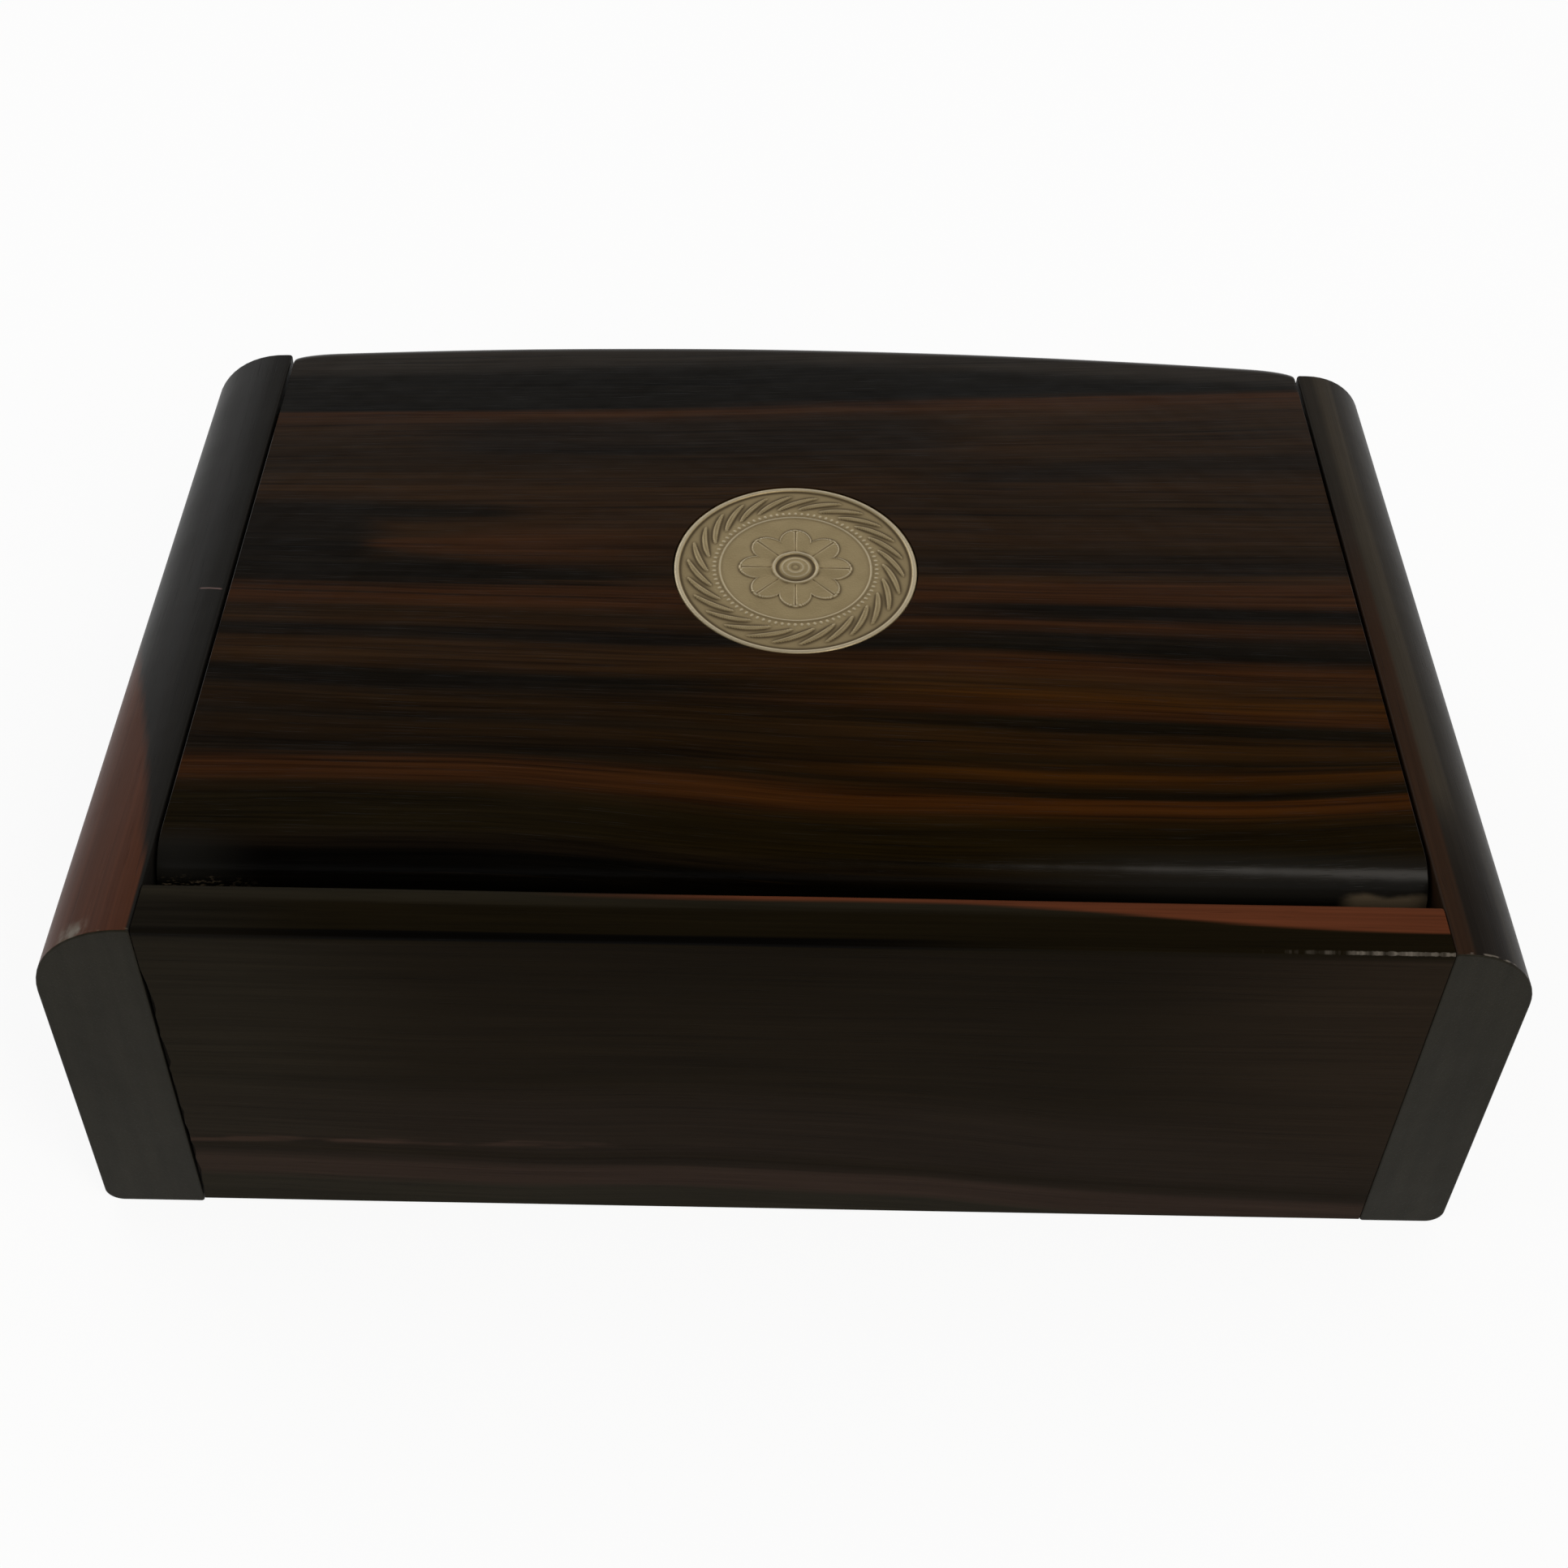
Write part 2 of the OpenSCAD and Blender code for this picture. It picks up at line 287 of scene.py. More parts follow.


# streaks of the lid, (place from the lip in mm, colour): at its left and right sides,
# and those beside the hinge, which run its whole length and end in painted shade
STREAK_START = 5.0          # how far beyond the ends' far faces they are counted from
STREAK_SPAN = 90
LEFT_STREAKS = [
    (0, BLACK), (13.4, BLACK), (14.4, RED), (17, BROWN), (21, UMBER), (26, UMBER),
    (30, BROWN), (33, BROWN), (39, BROWN), (46, UMBER), (47.6, BROWN), (49, RED),
    (51.6, RED), (53.4, UMBER), (55.2, BROWN), (56.4, DARK), (57.8, DARK), (59, BROWN),
    (62.4, BROWN), (63.8, BLACK), (66.2, DARK), (67.8, UMBER), (69.6, UMBER), (71, DARK),
    (72.6, UMBER), (74.2, DARK), (75.6, DARK), (76.8, RED)]
RIGHT_STREAKS = [
    (0, BLACK), (12.4, BLACK), (13.6, RED), (16.4, BROWN), (18, BROWN), (20, UMBER),
    (22.5, BROWN), (26.5, UMBER), (30.5, BROWN), (33, UMBER), (39, BROWN), (41, UMBER),
    (44, DARK), (45.6, BROWN), (47, RED), (49.2, RED), (50.6, BLACK), (52, DARK),
    (53.4, RED), (55, DARK), (57.6, BLACK), (59.6, RED), (62.4, BROWN), (64.6, GOLD),
    (66.4, RED), (67.8, BLACK), (69, DARK), (70.2, BROWN), (71.4, BROWN), (73, DARK),
    (74.4, GOLD), (75.8, DARK)]
NEAR_SPAN = 100
# the last stops darken to painted shade where the rounded rear edge turns down into the groove by
# the rear board
NEAR_STREAKS_AND_SHADE = [
    (76.2, UMBER), (77.2, RED), (78.8, RED), (80, UMBER), (81.6, OLIVE), (85.5, OLIVE),
    (87.4, DARK), (88.6, SHADE_BLACK)]


def lid_wood(layout):
    """Black wood with brown, red and golden streaks that run along X."""
    t = Tree("ebony_lid")
    x, y, z = t.place()
    x = x - layout["middle_x"]
    down = layout["top_z"] - z
    far = layout["front_y"] - y + STREAK_START      # grows from the lip to the hinge
    sway = t.noise(x * 0.014, far * 0.05, down * 0.05, detail=2) * 1.0
    tilt = (0.062 - (far - 12) * 0.0016) * (1 - t.rise(far, 68, 76))
    streak = far + tilt * x + sway + down * 0.35
    streak = streak - t.band(x, 26, 14, 50) * t.rise(far, 68, 80) * 3.0
    fine, thread, pores = fibres(t, x, streak, down)
    wander = streak + thread * 0.75 + fine * 0.22

    right = t.rise(x + thread * 9, -22, 34)
    colour = t.mix(right, t.ramp(wander, LEFT_STREAKS, STREAK_SPAN),
                   t.ramp(wander, RIGHT_STREAKS, STREAK_SPAN))
    near = t.rise(wander, 76.6, 77.4)
    colour = t.mix(near, colour, t.ramp(wander, NEAR_STREAKS_AND_SHADE, NEAR_SPAN))
    lens = t.band(x, -12, 24, 16) * t.band(wander, 20, 2.4, 2.6)
    colour = t.mix(lens * 0.75, colour, DARK)
    bar = far + x * 0.115 - thread * 0.7
    crossing = t.band(bar, 30.0, 0.6, 1.0 + t.rise(x, 10, 66) * 2.4) * t.rise(x, 6, 34)
    colour = t.mix(crossing * 0.7, colour, DARK)

    # black wedges at the left around one pointed brown tongue
    rough_edge = thread * 1.2
    edge = streak + rough_edge
    upper = t.band(edge, 34.6, 0.4, 1.0 + 3.0 * (1 - t.rise(x, -58, -28)))
    upper = upper * (1 - t.rise(x, -38, -28))
    lower = t.band(edge, 46.2, 1.0, 1.0 + 2.4 * (1 - t.rise(x, -54, -12)))
    lower = lower * (1 - t.rise(x, -26, -12))
    block = t.band(edge, 40.4, 6.2, 1.0) * (1 - t.rise(x, -54, -46))
    wedge = upper | lower | block
    tongue = t.band(streak + rough_edge * 0.5, 41, 0.2, 0.4 + 4.6 * t.rise(x, -56, -28))
    tongue = tongue * t.rise(x, -53, -49) * (1 - t.rise(x, -34, -6))
    colour = t.mix(wedge * 0.9, colour, BLACK)
    colour = t.mix(tongue * 0.9, colour, RED)

    # long thin dark and red lines, then broad stretches and the single fibres
    line = t.noise(x * 0.007, streak * 1.5, down, detail=3)
    near_half = t.rise(far, 24, 50)
    colour = t.mix(t.rise(line, 0.30, 0.62) * (0.25 + near_half * 0.35), colour, DARK)
    colour = t.mix(t.rise(line, -0.42, -0.75) * 0.35 * near_half * right, colour, GOLD)
    golden = t.rise(far, 42, 80) * (0.25 + 0.75 * t.rise(x, -45, 15))
    colour = t.mix(golden, colour, GOLDEN_TINT, "MULTIPLY")
    # lighter warm grey along the lip: partly the wood, partly a painted sheen where its rounding
    # catches the backdrop
    lip_grey_and_sheen_mask = 1 - t.rise(far - t.math("MAXIMUM", x * -1, x * 0.5) * 0.075 + thread, 3.2, 6.0)
    colour = t.mix(lip_grey_and_sheen_mask * 0.65, colour, LIP_GREY_AND_SHEEN)
    stretch = t.noise(x * 0.03, streak * 0.35, down * 0.2, detail=2)
    shade = 1 + stretch * 0.30 + thread * 0.50 + fine * 0.75 - pores * 0.25
    colour = t.scale_colour(colour, t.math("MAXIMUM", shade, 0.2))

    # painted sheen along the top of the rounded rear edge, and bare wood where that edge has been
    # worn through
    rub = t.noise(x * 0.3, far * 0.5, down * 0.5, detail=4)
    chips = t.noise(x * 1.6, far * 4, down * 4, detail=3)
    at_left, at_right = 1 - t.rise(x, -66, -54), t.rise(x, 56.5, 59)
    # painted sheen: grey on the upper part of the rounded rear edge, where the lamp's highlight
    # spreads
    nose = t.rise(far, 86, 88.5) * (1 - t.rise(down, 2.2, 4)) * (t.rise(x, 15, 45) | at_left)
    colour = t.mix(nose * 0.6, colour, NOSE_SHEEN)
    depth_here = down + rub * (1.2 - at_right * 0.7)
    worn = t.rise(far, 85, 88) * t.band(depth_here, 3.6, 0.4 + at_right * 0.4, 0.8)
    worn = worn * (at_left * t.rise(chips, 0.0, 0.45) | at_right * 0.9)
    colour = t.mix(worn * 0.85, colour, TAN)
    return polish(t, colour, fine, pores, x, y, z, rough=0.19, gloss=0.10,
                  pore_depth=0.006)


# bands of the boards' faces, (height in mm, colour)
FACE_SPAN = 50
FACE_BANDS = [
    (0, BOARD_GREY), (2.2, BOARD_GREY), (3.4, BOARD_ROSE), (6.4, BOARD_ROSE),
    (7.4, BOARD_LOW), (8.6, BOARD), (10.5, BOARD_LOW), (18, BOARD_LOW),
    (24, BOARD), (36, BOARD), (44, BOARD_HIGH), (50, BOARD_HIGH)]


def board_wood(layout):
    """Duller olive brown board with rose streaks near its lower edge."""
    t = Tree("ebony_board")
    x, y, z = t.place()
    depth = y - layout["rear_y"]
    sway = t.noise(x * 0.02, depth * 0.03, z * 0.06, detail=2) * 1.1
    slope = x * 0.05 - t.band(x, 2, 10, 24) * 1.6
    level = z + sway * 0.8 + slope * (1 - t.rise(z, 16, 34))
    fine, thread, pores = fibres(t, x, level, depth)
    wander = level + thread * 0.8
    face = t.ramp(wander, FACE_BANDS, FACE_SPAN)
    green = 0.9 - 0.75 * t.rise(z, 4.5, 7) + 0.4 * t.rise(z, 12, 16)
    green = green * (1 - t.rise(x, -64, -30))
    face = t.mix(green, face, BOARD_GREY)
    dashes = t.rise(t.noise(x * 0.09, z * 0.5, depth, detail=2), -0.1, 0.4)
    pale = t.band(z + sway * 0.6, 13.0, 0.2, 0.8) * (1 - t.rise(x, -40, 0)) * dashes
    face = t.mix(pale * 0.75, face, BOARD_PALE)
    ruddy = t.rise(x, 30, 66) * t.rise(z, 4, 20)
    face = t.mix(ruddy * 0.9, face, BOARD_WARM)
    # top band: dark, with a painted highlight along the rounded arris beside the lid: grey, and a
    # rose strip that is also red wood
    top = t.rise(z, layout["top_z"] - 1.6, layout["top_z"] - 0.6)
    reach = depth + thread * 0.35 + t.rise(x, 14, 64) * 2.6
    strip = t.rise(reach, 5.1, 5.7) * t.rise(x + thread * 8, -24, 2)
    top_wood_and_sheen = t.mix((1 - t.rise(x, -66, -44)) * 0.4, OLIVE, GREY)
    # painted highlight: greyer towards the rounded arris beside the lid
    top_wood_and_sheen = t.mix(t.rise(depth + thread * 0.5, 3.6, 5.2) * 0.6, top_wood_and_sheen, BOARD_GREY)
    colour = t.mix(top, face, top_wood_and_sheen)
    # rose strip: red wood with a painted highlight on the rounded arris
    colour = t.mix(t.rise(z, layout["top_z"] - 3, layout["top_z"] - 1.5) * strip, colour, STRIP)
    stretch = t.noise(x * 0.03, level * 0.3, depth * 0.3, detail=2)
    shade = 1 + stretch * 0.20 + thread * 0.20 + fine * 0.30 - pores * 0.2
    colour = t.scale_colour(colour, t.math("MAXIMUM", shade, 0.2))
    # painted shade darkens the front arris at the left, and the arris has lost its polish, most at
    # the right
    down = layout["top_z"] - z
    arris_shade = (1 - t.rise(depth + down, 0.55, 0.95)) * (1 - t.rise(x, 0, 36))
    colour = t.mix(arris_shade * (0.5 + 0.45 * t.rise(x, -62, -40)), colour, SHADE_BLACK)
    chips = t.noise(x * 0.6, 0, 0, detail=4)
    edge = t.band(depth + down + t.noise(x * 1.5, 0, 0) * 0.12, 0.24, 0.06, 0.10)
    wear_and_glint = edge * t.rise(chips + t.rise(x, 34, 64) * 1.2 - 0.75, 0, 0.6)
    wear_and_glint = wear_and_glint * (0.55 + 0.45 * t.rise(t.noise(x * 2.5, 0, 0), -0.4, 0.4))
    colour = t.mix(wear_and_glint * 0.85, colour, SCUFF_AND_GLINT)
    return polish(t, colour, fine, pores, x, y, z, rough=0.46, gloss=0.01)


def end_wood(layout, side):
    """Near-black end: grain along Y, grey end grain on its two small faces."""
    t = Tree("ebony_end_" + side)
    x, y, z = t.place()
    outer = (x - layout["left_x"]) if side == "left" else (layout["right_x"] - x)
    near = y - layout["rear_y"]
    down = layout["top_z"] - z
    unroll = outer - down * 0.7
    sway = t.noise(near * 0.014, outer * 0.05, down * 0.05, detail=2) * 1.0
    fine, thread, pores = fibres(t, near, unroll + sway, down * 0.4)
    side_colour = t.mix(t.rise(thread, -0.3, 0.9) * 0.5, GREY, DARK)
    if side == "left":
        reach = 11.6 * (1 - t.rise(near, 8, 62)) + 1.6 * (1 - t.rise(near, 4, 14)) - 1.6
        ruddy = 1 - t.rise(outer + thread * 0.8 - reach, -0.6, 0.8)
        tongues = t.noise(near * 0.01, unroll * 0.16, 0, detail=2)
        ragged = near + thread * 9 + tongues * 16 + down * 0.35
        ruddy = ruddy * (1 - t.rise(ragged, 40, 58)) * (1 - t.rise(outer, 10.7, 11.0))
        side_colour = t.mix(ruddy * 0.95, side_colour, ROSE)
        side_colour = t.mix(ruddy * (1 - t.rise(outer, 2, 5)) * 0.5, side_colour, STRIP)
    else:
        side_colour = t.mix(0.75, side_colour, END_WARM)
        strip = t.band(outer + thread * 0.5, 8.6, 0.6, 0.9) * (1 - t.rise(near, 45, 75))
        side_colour = t.mix(strip * 0.6, side_colour, RED)
        # painted sheen: a paler band along the rounding, away from the near end
        end_sheen_band = t.band(outer + thread * 0.4, 6.4, 0.7, 1.0)
        side_colour = t.mix(end_sheen_band * t.rise(near, 16, 24) * 0.55, side_colour, END_SHEEN)
        # painted shade: the rounding darker towards the near end, where its sheen fades
        near_end_shade = t.band(outer, 5.4, 1.6, 1.0) * (1 - t.rise(near, 6, 24))
        side_colour = t.mix(near_end_shade * 0.75, side_colour, DARK)
        low_strip = t.rise(down + thread, 3.5, 6.5) * (1 - t.rise(near, 15, 60))
        side_colour = t.mix(low_strip * 0.6, side_colour, BROWN)
    shade = 1 + thread * 0.28 + fine * 0.28 - pores * 0.3
    side_colour = t.scale_colour(side_colour, t.math("MAXIMUM", shade, 0.2))

    if side == "left":
        # painted highlight: a pale glint on the rounding just behind the near face
        wear_and_glint = t.rise(t.noise(outer * 0.9, near * 0.6, down * 0.9), -0.5, 0.6)
        wear_and_glint = wear_and_glint * (1 - t.rise(near, 0.9, 2.8)) * t.band(outer, 5.0, 0.8, 1.2)
        side_colour = t.mix(wear_and_glint, side_colour, SCUFF_AND_GLINT)
        # one short pale scratch
        scratch = t.band(near + outer * 0.12, 51.1, 0.06, 0.10) * t.band(outer, 9.4, 1.1, 0.4)
        side_colour = t.mix(scratch * 0.8, side_colour, PALE)

    # end grain: fine specks and faint growth bands
    specks = t.noise(outer * 5, near * 5, z * 5, detail=3)
    rings = t.noise(outer * 0.5, near * 0.1, z * 0.06, detail=3)
    grain_end = t.mix(t.rise(rings, -0.8, 0.8), GRAIN_DARK, GRAIN_LIGHT)
    grain_end = t.scale_colour(grain_end, 1 + specks * 0.25)
    full, gone = END_GRAIN_FADE
    small_face = (1 - t.rise(near, full, gone)) | t.rise(
        near, layout["depth"] - gone, layout["depth"] - full)
    colour = t.mix(small_face, side_colour, grain_end)
    chips = t.noise(outer * 0.8, near * 1.5, z * 0.8, detail=4)
    arris = t.band(near, 0.30, 0.08, 0.08) * (1 - t.rise(down, 3.0, 5.0))
    arris = arris * t.rise(chips - 0.05, 0, 0.3)
    colour = t.mix(arris * 0.7, colour, SCUFF_AND_GLINT if side == "right" else TAN)
    return polish(t, colour, fine, pores, x, y, z, rough=0.40, gloss=0.05)


def plain_wood(name, dark, light, rough):
    """Bare wood for the bottom board and the dowels, grain along X."""
    t = Tree(name)
    x, y, z = t.place()
    fine, thread, pores = fibres(t, x, y, z)
    colour = t.mix(t.rise(thread, -0.8, 0.9), dark, light)
    colour = t.scale_colour(colour, 1 + fine * 0.25 - pores * 0.4)
    return polish(t, colour, fine, pores, x, y, z, rough=rough, gloss=0.2)


# ---------------------------------------------------------------- metal
COIN_DARK, COIN_LIGHT = (0.36, 0.275, 0.140), (0.45, 0.350, 0.185)
COIN_DIRT, COIN_PROUD = (0.120, 0.085, 0.042), (0.66, 0.57, 0.40)
BRASS_LIGHT, BRASS_DULL = (0.52, 0.36, 0.12), (0.34, 0.23, 0.09)


def coin_metal():
    """Worn copper-nickel: bright on what stands out, brown in the hollows."""
    t = Tree("coin_metal")
    x, y, z = t.place()
    hollow = Field(t, t.add("ShaderNodeAttribute", attribute_name="hollow").outputs["Fac"])
    grime = t.noise(x * 0.35, y * 0.35, z, detail=4)
    speck = t.noise(x * 4, y * 4, z * 4, detail=3)
    dirt = t.rise(hollow + grime * 0.10, 0.25, 0.85)
    colour = t.mix(t.rise(grime, -0.9, 0.9), COIN_DARK, COIN_LIGHT)
    colour = t.mix(dirt, colour, COIN_DIRT)
    proud = 1 - t.rise(hollow, 0.02, 0.20)
    colour = t.mix(proud * 0.75, colour, COIN_PROUD)
    roughness = 0.42 + speck * 0.05 + dirt * 0.25
    normal = t.bump(speck, 0.012 * MM)
    return t.finish(colour, roughness, normal, Metallic=0.6, Specular_IOR_Level=0.3)


def pin_brass():
    t = Tree("pin_brass")
    x, y, z = t.place()
    rings = t.noise(x * 6, y * 0.4, z * 0.4, detail=3)
    stain = t.noise(x * 0.6, y * 0.6, z * 0.6, detail=3)
    colour = t.mix(t.rise(stain, -0.6, 0.8), BRASS_LIGHT, BRASS_DULL)
    return t.finish(colour, 0.36 + rings * 0.06, t.bump(rings, 0.01 * MM), Metallic=1.0)


# ---------------------------------------------------------------- mesh tools
def arc(centre, radius, start, end, steps):
    """Points of an arc in the plane, angles in degrees."""
    for i in range(steps + 1):
        a = math.radians(start + (end - start) * i / steps)
        yield (centre[0] + radius * math.cos(a), centre[1] + radius * math.sin(a))


def rounded_box(low, high, radii, steps=6):
    """Closed outline; radii go low left, low right, high right, high left."""
    (x0, y0), (x1, y1) = low, high
    a, b, c, d = radii
    return [*arc((x0 + a, y0 + a), a, 180, 270, steps), *arc((x1 - b, y0 + b), b, 270, 360, steps),
            *arc((x1 - c, y1 - c), c, 0, 90, steps), *arc((x0 + d, y1 - d), d, 90, 180, steps)]


def refine(outline, longest):
    """The outline with its long sides split into steps of at most the longest."""
    made = []
    for i, a in enumerate(outline):
        b = outline[(i + 1) % len(outline)]
        count = max(1, math.ceil(math.dist(a, b) / longest))
        made += [tuple(p + (q - p) * k / count for p, q in zip(a, b)) for k in range(count)]
    return made


def loft(name, rings, ease):
    """Closed mesh through equal rings, with the edges of both end faces eased."""
    mesh = bmesh.new()
    loops = [[mesh.verts.new(p) for p in ring] for ring in rings]
    count = len(loops[0])
    for low, high in zip(loops, loops[1:]):
        for i in range(count):
            j = (i + 1) % count
            mesh.faces.new((low[i], low[j], high[j], high[i]))
    caps = [mesh.faces.new(loops[0][::-1]), mesh.faces.new(loops[-1])]
    bmesh.ops.recalc_face_normals(mesh, faces=mesh.faces)
    edges = {e for face in caps for e in face.edges}
    bmesh.ops.bevel(mesh, geom=list(edges), offset=ease, segments=3, profile=0.6,
                    affect="EDGES", clamp_overlap=True)
    return finish_mesh(name, mesh)


def finish_mesh(name, mesh):
    data = bpy.data.meshes.new(name)
    mesh.to_mesh(data)
    mesh.free()
    for face in data.polygons:
        face.use_smooth = True
    made = bpy.data.objects.new(name, data)
    bpy.context.scene.collection.objects.link(made)
    return made


def hand_work(piece, seed):
    """Moves the surface inwards a little, unevenly, as hand planing does."""
    data = piece.data
    normals = [v.normal.copy() for v in data.vertices]
    offset = Vector((seed, seed * 0.7, seed * 1.3))
    for vertex, normal in zip(data.vertices, normals):
        stray = noise.noise(vertex.co / HAND_WORK_SIZE + offset)
        vertex.co -= normal * HAND_WORK * (0.5 + 0.5 * stray)


def settle_normals(piece):
    """Keeps large flat faces flat in the shading beside their eased edges."""
    piece.data.set_sharp_from_angle(angle=math.radians(40))
    modifier = piece.modifiers.new("flat_faces", "WEIGHTED_NORMAL")
    modifier.weight = 90
    modifier.keep_sharp = True


def cut(piece, cutters):
    """Takes the cutters, which are then deleted, out of the piece."""
    for cutter in cutters:
        modifier = piece.modifiers.new("hole", "BOOLEAN")
        modifier.object = cutter
        modifier.solver = "EXACT"
    bpy.context.view_layer.update()
    whole = piece.evaluated_get(bpy.context.evaluated_depsgraph_get())
    data = bpy.data.meshes.new_from_object(whole)
    piece.modifiers.clear()
    piece.data = data
    for cutter in cutters:
        bpy.data.objects.remove(cutter)


def cylinder(name, centre, radius, length, axis, segments):
    """Plain cylinder along an axis, used only as a cutter."""
    mesh = bmesh.new()
    bmesh.ops.create_cone(mesh, cap_ends=True, segments=segments, radius1=radius,
                          radius2=radius, depth=length)
    turn = Vector(axis).to_track_quat("Z", "Y")
    for vertex in mesh.verts:
        vertex.co = turn @ vertex.co + Vector(centre)
    return finish_mesh(name, mesh)


def box_cutter(name, low, high, grow):
    """Box between two corners, grown on all sides, used only as a cutter."""
    size = high - low + Vector((2 * grow,) * 3)
    mesh = bmesh.new()
    bmesh.ops.create_cube(mesh, size=1.0)
    for vertex in mesh.verts:
        vertex.co = vertex.co * size + (low + high) / 2
    return finish_mesh(name, mesh)


def joinery(rows):
    """Cutters for the dowel holes of the given rows and for the bottom board's groove."""
    made = [box_cutter("groove", *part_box("bottom_board"), GROOVE_PLAY)]
    for row in rows:
        low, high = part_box(row + "_dowels")
        radius = (high.y - low.y) / 2
        for x in (low.x + DOWEL_L / 2, high.x - DOWEL_L / 2):
            for z in (low.z + radius, high.z - radius):
                made.append(cylinder("dowel_hole", (x, low.y + radius, z), radius + DOWEL_FIT,
                                     DOWEL_L + 2 * DOWEL_PLAY, (1, 0, 0),
                                     DOWEL_SEGMENTS))
    return made


def place(piece, node, body, material):
    """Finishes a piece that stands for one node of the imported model."""
    settle_normals(piece)
    piece.data.materials.clear()
    piece.data.materials.append(material)
    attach(piece, body)
    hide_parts(node)


# ---------------------------------------------------------------- wooden pieces
def build_end(side, material):
    """Thick end with a rounded top outer edge, lofted from its near to its far face."""
    node = side + "_end"
    low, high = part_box(node)
    thick = high.x - low.x
    top_r = LEFT_ROUND_R if side == "left" else RIGHT_ROUND_R
    outline = rounded_box((0, 0), (thick, high.z), (END_FOOT_R, ARRIS_R, ARRIS_R, top_r),
                          ARC_STEPS_END)
    outline = refine(outline, LONGEST_END)
    outer, sign = (low.x, 1) if side == "left" else (high.x, -1)
    rings = []
    for i in range(END_RINGS + 1):
        y = low.y + (high.y - low.y) * i / END_RINGS
        rings.append([(outer + sign * x, y, z) for x, z in outline])
    piece = loft("end_" + side, rings, END_ARRIS_R)
    hand_work(piece, 3.0 if side == "left" else 7.0)
    pin_low, pin_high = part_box("hinge_pin_" + side)
    centre = (pin_low + pin_high) / 2
    radius = (pin_high.z - pin_low.z) / 2
    bore = cylinder("bore", centre, radius, pin_high.x - pin_low.x, (1, 0, 0), PIN_SEGMENTS)
    cut(piece, [bore, *joinery(("rear", "front"))])
    place(piece, node, "case", material)


def joint_gap(z, top):
    """Width of the open, ragged joint at the rear board's left end."""
    coarse, fine = (noise.noise(Vector((seed, 0, z / size)))
                    for seed, size in zip((0.3, 5.1), RAG_SIZES))
    opened = min(1.0, max(0.0, (top - JOINT_TOP - z) / JOINT_BLEND))
    opened *= min(1.0, max(0.0, (z - JOINT_FOOT) / JOINT_BLEND))
    return JOINT_SHUT + opened * JOINT_OPEN * (1 + coarse + 0.5 * fine)


def open_joint(piece, start, high):
    """Draws a board back from the left end, unevenly, and lifts its foot there."""
    for vertex in piece.data.vertices:
        share = (vertex.co.x - start) / (high.x - start)
        vertex.co.x += joint_gap(vertex.co.z, high.z) * (1 - share)
        vertex.co.z += FOOT_LIFT * (1 - vertex.co.z / high.z) * (1 - share)


def build_board(node, radii, ragged, material, seed):
    """Long board lofted along X from its YZ outline."""
    low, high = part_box(node)
    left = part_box("left_end")[1].x
    outline = refine(rounded_box((low.y, low.z), (high.y, high.z), radii), LONGEST_BOARD)
    start = left if ragged else low.x
    rings = []
    for i in range(BOARD_RINGS + 1):
        x = start + (high.x - start) * i / BOARD_RINGS
        rings.append([(x, y, z) for y, z in outline])
    piece = loft(node.replace("_", "_wood_"), rings, BOARD_EASE)
    hand_work(piece, seed)
    cut(piece, joinery((node.removesuffix("_board"),)))
    if ragged:
        open_joint(piece, start, high)
    place(piece, node, "case", material)


